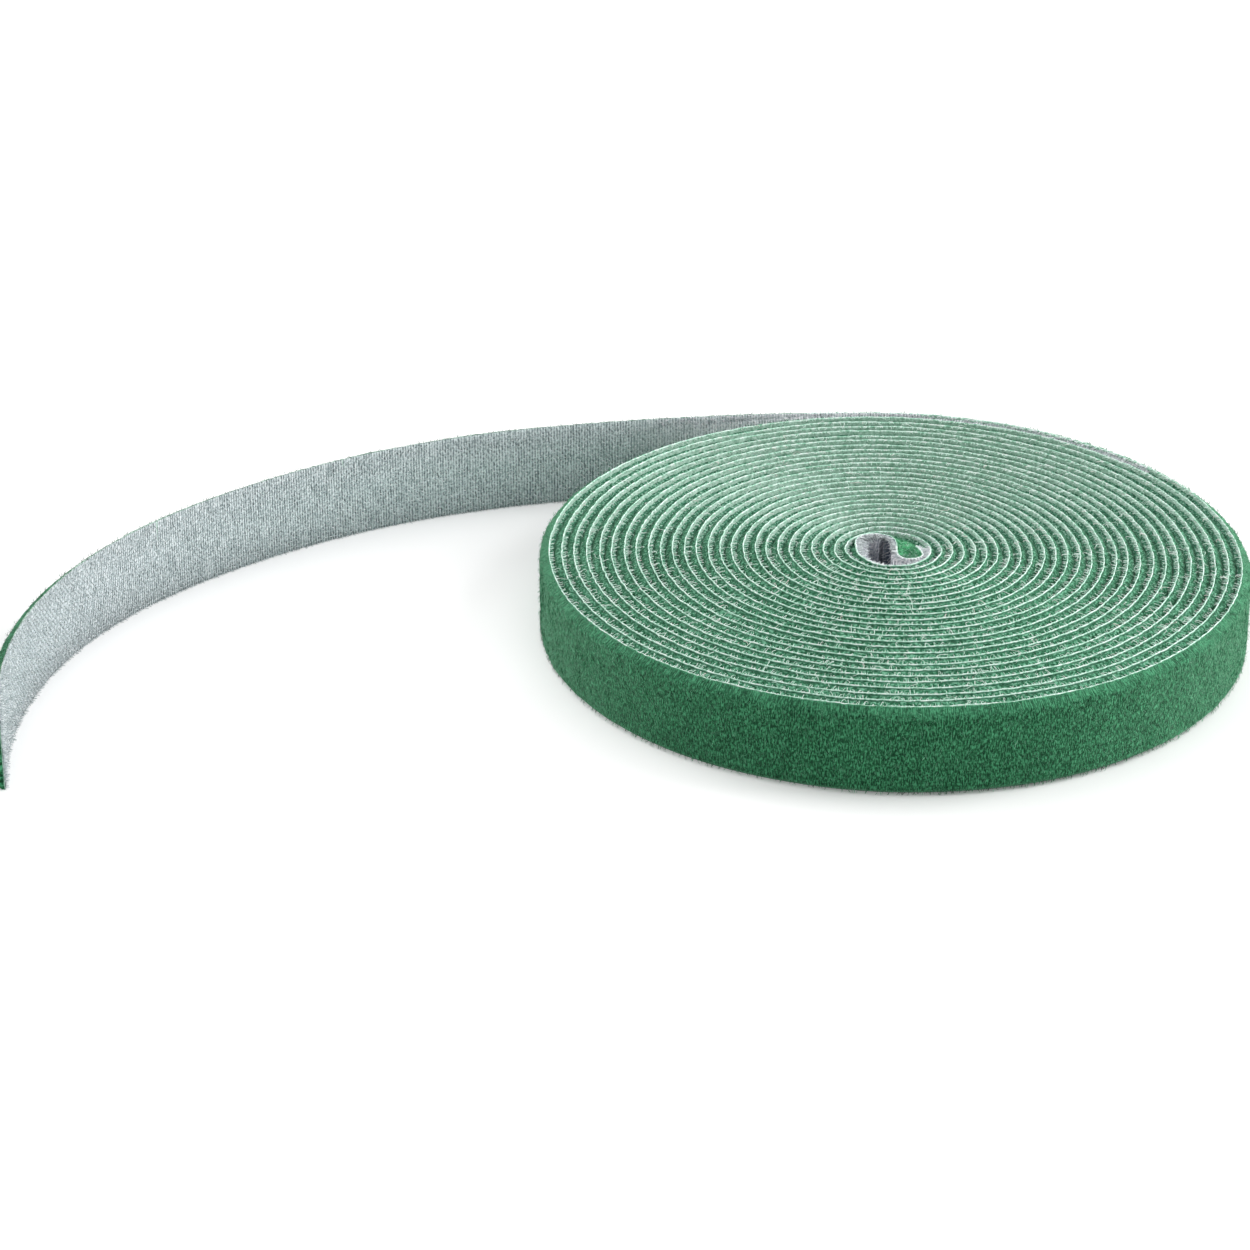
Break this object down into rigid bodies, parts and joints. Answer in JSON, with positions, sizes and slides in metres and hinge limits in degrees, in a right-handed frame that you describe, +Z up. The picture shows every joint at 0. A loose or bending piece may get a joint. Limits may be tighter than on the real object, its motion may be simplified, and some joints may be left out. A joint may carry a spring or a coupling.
{
  "type": "hook and loop tape roll",
  "caption": "Flat roll of double-sided hook-and-loop tape, brushed loop pile outside and hooks inside, wound on itself without a reel, with its free end curving away.",
  "frame": {"origin": "on the axis of the roll, on the underside of the tape that crosses it, in the plane that the roll lies on", "axes": "+Z up across the tape's width, along the axis of the roll; +Y towards the side where the lead leaves the roll; -X towards the free lead"},
  "size_m": [0.2593, 0.1522, 0.019],
  "materials": {
    "hook_tape": "matte",
    "bond_film": "matte",
    "loop_tape": "matte"
  },
  "bodies": {
    "roll": {"core_hook_tape": "hook_tape", "core_bond_film": "bond_film", "core_loop_tape": "loop_tape", "coil_hook_tape": "hook_tape", "coil_bond_film": "bond_film", "coil_loop_tape": "loop_tape", "outer_turn_hook_tape": "hook_tape", "outer_turn_bond_film": "bond_film", "outer_turn_loop_tape": "loop_tape"},
    "lead_1": {"lead_1_hook_tape": "hook_tape", "lead_1_bond_film": "bond_film", "lead_1_loop_tape": "loop_tape"},
    "lead_2": {"lead_2_hook_tape": "hook_tape", "lead_2_bond_film": "bond_film", "lead_2_loop_tape": "loop_tape"},
    "lead_3": {"lead_3_hook_tape": "hook_tape", "lead_3_bond_film": "bond_film", "lead_3_loop_tape": "loop_tape"},
    "lead_4": {"lead_4_hook_tape": "hook_tape", "lead_4_bond_film": "bond_film", "lead_4_loop_tape": "loop_tape"},
    "lead_5": {"lead_5_hook_tape": "hook_tape", "lead_5_bond_film": "bond_film", "lead_5_loop_tape": "loop_tape"}
  },
  "joints": [
    {"name": "lead_peel", "type": "hinge", "parent": "roll", "child": "lead_1", "pos_m": [-0.03069, 0.07397, 0], "axis": [0, 0, 1], "range_deg": [-25, 15], "stiffness_Nm_per_rad": 0.004},
    {"name": "lead_bend_1", "type": "hinge", "parent": "lead_1", "child": "lead_2", "pos_m": [-0.07808, 0.06603, 0], "axis": [0, 0, 1], "range_deg": [-18, 15], "stiffness_Nm_per_rad": 0.004},
    {"name": "lead_bend_2", "type": "hinge", "parent": "lead_2", "child": "lead_3", "pos_m": [-0.12218, 0.04709, 0], "axis": [0, 0, 1], "range_deg": [-18, 15], "stiffness_Nm_per_rad": 0.004},
    {"name": "lead_bend_3", "type": "hinge", "parent": "lead_3", "child": "lead_4", "pos_m": [-0.15809, 0.01522, 0], "axis": [0, 0, 1], "range_deg": [-18, 15], "stiffness_Nm_per_rad": 0.004},
    {"name": "lead_bend_4", "type": "hinge", "parent": "lead_4", "child": "lead_5", "pos_m": [-0.17911, -0.02777, 0], "axis": [0, 0, 1], "range_deg": [-18, 15], "stiffness_Nm_per_rad": 0.004}
  ]
}
